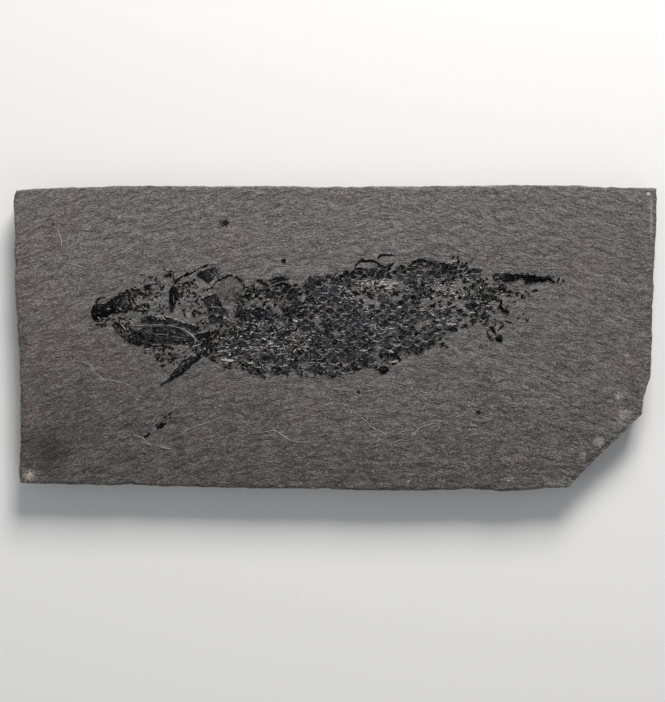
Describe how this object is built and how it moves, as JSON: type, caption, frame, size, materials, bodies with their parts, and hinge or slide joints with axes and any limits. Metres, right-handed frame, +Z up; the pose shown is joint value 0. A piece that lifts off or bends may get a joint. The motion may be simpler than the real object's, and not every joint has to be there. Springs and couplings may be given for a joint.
{
  "type": "fossil fish slab",
  "caption": "Flat slab of grey-brown flagstone with a broken corner and a black lobe-finned fossil fish, its skull bones, fins and coat of scales bedded in low relief in the upper face",
  "frame": {"origin": "middle of the slab's underside, directly under the centre of its bounding box", "axes": "+X from the snout to the tail, along the slab's long side; +Y across the slab towards the fish's back; +Z up, out of the face that holds the fish"},
  "size_m": [0.1901, 0.0904, 0.0111],
  "materials": {
    "matrix": "matt, fine-grained, split along its bedding",
    "black_bone": "black fossil bone with a dull shine",
    "grey_bone": "dark grey fossil bone, satin",
    "scale_bone": "blue-black scales with pale worn edges",
    "pale_bone": "pale, matt",
    "dome_bone": "smooth grey, satin"
  },
  "bodies": {
    "root": {"slab": "matrix", "snout": "black_bone", "roof_ring": "grey_bone", "roof_plate": "grey_bone", "operculum": "dome_bone", "shoulder_plate_1": "grey_bone", "shoulder_plate_2": "grey_bone", "shoulder_plate_3": "black_bone", "nape_bone": "grey_bone", "belly_cluster": "black_bone", "hind_fin_knob": "black_bone", "hind_fin_root": "grey_bone", "skull_fragment_1": "black_bone", "skull_fragment_2": "black_bone", "skull_fragment_3": "grey_bone", "skull_fragment_4": "grey_bone", "skull_fragment_5": "black_bone", "cheek_bar": "black_bone", "cheek_fragment": "grey_bone", "roof_margin": "grey_bone", "opercular_rim": "black_bone", "cleithrum": "black_bone", "lower_jaw": "black_bone", "jaw_ramus": "grey_bone", "gular_upper": "grey_bone", "gular_lower": "black_bone", "gular_midline": "pale_bone", "throat_plate": "grey_bone", "throat_hook": "black_bone", "pectoral_fin": "black_bone", "nape_arc": "black_bone", "dorsal_streak_1": "black_bone", "dorsal_streak_2": "black_bone", "dorsal_streak_3": "black_bone", "back_arc_1": "black_bone", "back_arc_2": "black_bone", "tail_chain": "black_bone", "tail_lobe": "black_bone", "tail_bone": "black_bone", "hind_fin_ray": "black_bone", "hind_fin_crescent": "grey_bone", "hind_fin_vee": "grey_bone", "loose_fragment": "black_bone", "flank_scales": "scale_bone", "dorsal_scales": "scale_bone", "peduncle_scales": "scale_bone"}
  },
  "joints": []
}
